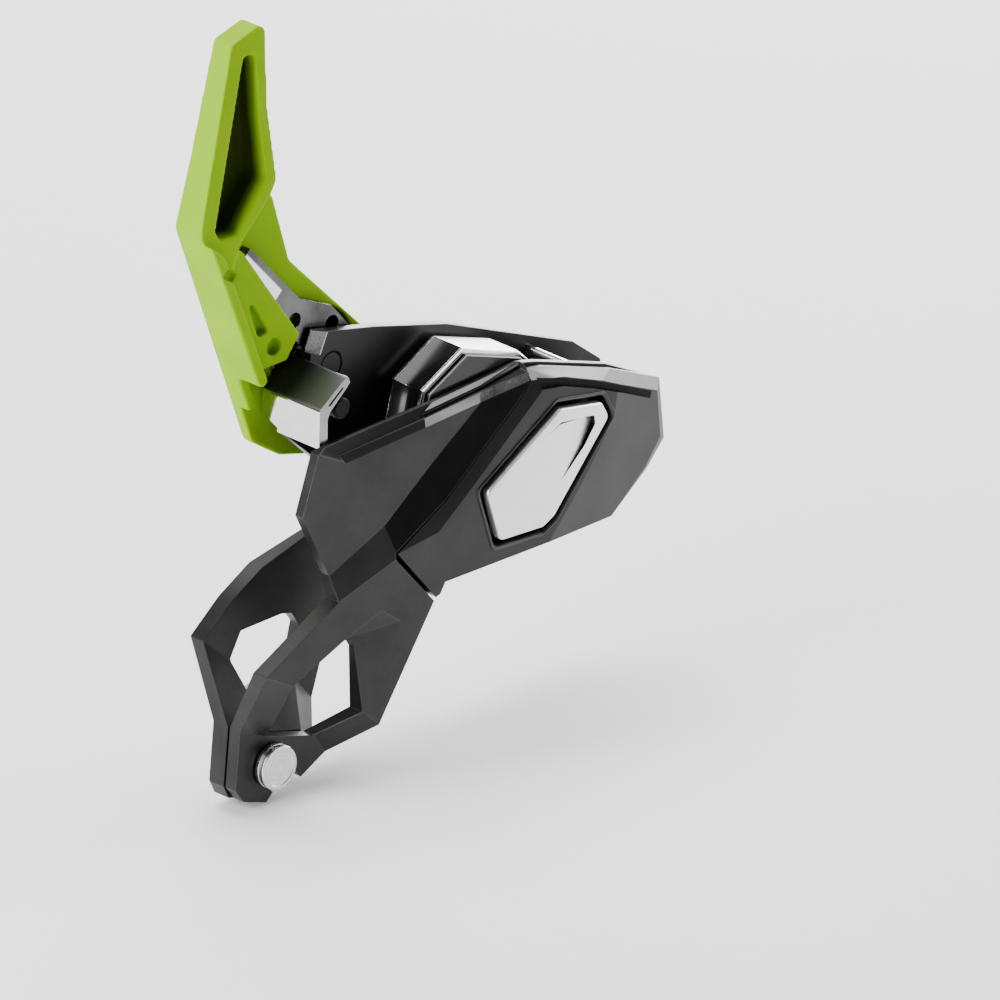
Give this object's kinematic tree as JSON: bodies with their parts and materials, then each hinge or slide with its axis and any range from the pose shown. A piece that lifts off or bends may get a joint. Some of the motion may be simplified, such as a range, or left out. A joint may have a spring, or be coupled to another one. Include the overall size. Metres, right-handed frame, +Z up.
{
  "type": "belay device",
  "caption": "Assisted-braking belay device with side plates, a brake cam, a push button and a folding release lever, worn on a harness belay loop.",
  "frame": {"origin": "middle of the pin that hangs in the harness belay loop", "axes": "+Z up as the device hangs in use, +X along the body towards the brake strand, +Y from the front plate to the rear plate, along every axle"},
  "size_m": [0.1183, 0.0283, 0.1705],
  "materials": {
    "anodised": "bead-blasted black anodised aluminium",
    "cover": "satin charcoal anodised aluminium",
    "polished": "polished stainless steel",
    "satin": "turned stainless steel",
    "button": "satin silver",
    "spring": "drawn spring wire",
    "bronze": "plain bearing bronze",
    "black": "gloss black",
    "green": "satin moulded lime-green nylon"
  },
  "bodies": {
    "frame": {"rear_side_plate": "anodised", "friction_block": "polished", "block_pin": "black", "rope_post": "polished", "cam_stop_pin": "polished", "brake_strand_guide": "polished", "guide_rivet_lower": "satin", "guide_rivet_upper": "satin", "cam_axle": "satin", "axle_washer": "bronze", "axle_clip": "spring", "cam_spring": "spring", "attachment_pin": "satin", "lever_pivot_pin": "black", "lever_spring": "spring"},
    "front_plate": {"front_side_plate": "anodised", "front_cover": "cover", "button_bezel": "black", "plate_bush": "bronze", "cover_rivet_left": "satin", "cover_rivet_right": "satin", "button_spring": "spring"},
    "button": {"lock_button": "button", "lock_bolt": "polished"},
    "cam": {"brake_cam": "polished", "cam_cap_front": "black", "cam_cap_rear": "black", "cam_bush": "bronze"},
    "lever": {"lever_grip": "green", "lever_hub_plate": "black", "lever_arm": "polished", "lever_bush": "bronze", "grip_screw_upper": "satin", "grip_screw_lower": "satin"}
  },
  "joints": [
    {"name": "lever_hinge", "type": "hinge", "parent": "frame", "child": "lever", "pos_m": [0.027, 0, 0.079], "axis": [0, 1, 0], "range_deg": [-12, 105]},
    {"name": "front_plate_hinge", "type": "hinge", "parent": "frame", "child": "front_plate", "pos_m": [0.066, 0, 0.051], "axis": [0, 1, 0], "range_deg": [0, 85]},
    {"name": "cam_hinge", "type": "hinge", "parent": "frame", "child": "cam", "pos_m": [0.066, 0, 0.051], "axis": [0, 1, 0], "range_deg": [0, 20], "stiffness_Nm_per_rad": 0.15, "springref_deg": -20.05},
    {"name": "button_press", "type": "slide", "parent": "front_plate", "child": "button", "axis": [0, 1, 0], "range_m": [0, 0.0015], "stiffness_N_per_m": 900, "springref_m": -0.001, "deforming": ["button_spring"]}
  ]
}
